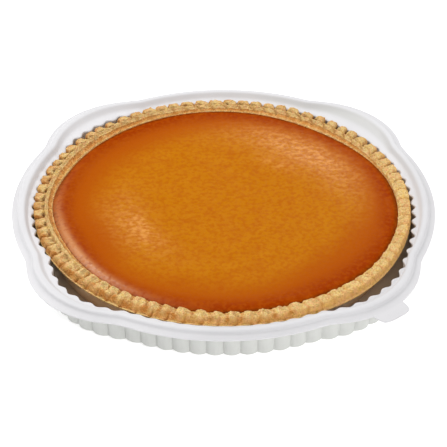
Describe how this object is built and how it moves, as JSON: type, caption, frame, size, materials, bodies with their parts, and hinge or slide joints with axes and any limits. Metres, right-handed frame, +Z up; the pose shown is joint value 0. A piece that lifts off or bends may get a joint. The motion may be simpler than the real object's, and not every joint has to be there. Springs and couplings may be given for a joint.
{
  "type": "pumpkin pie",
  "caption": "Round pumpkin pie with a crimped pastry rim and smooth custard top, in a foil tin on a lobed white plastic tray with fluted walls and a pull tab.",
  "frame": {"origin": "middle of the tray's underside, at the bottom centre of the whole part's box", "axes": "+Z up out of the pie; -Y to the front, with the pull tab on the lobe between +X and -Y"},
  "size_m": [0.2846, 0.2846, 0.028],
  "materials": {
    "tray_plastic": "opaque white moulded plastic, satin sheen",
    "foil": "thin bare aluminium foil pan, satin",
    "pastry": "baked golden pastry, matte with browned spots",
    "custard": "baked pumpkin custard, satin skin with a soft sheen"
  },
  "bodies": {
    "root": {"tray": "tray_plastic", "tin": "foil", "crust": "pastry", "filling": "custard"}
  },
  "joints": []
}
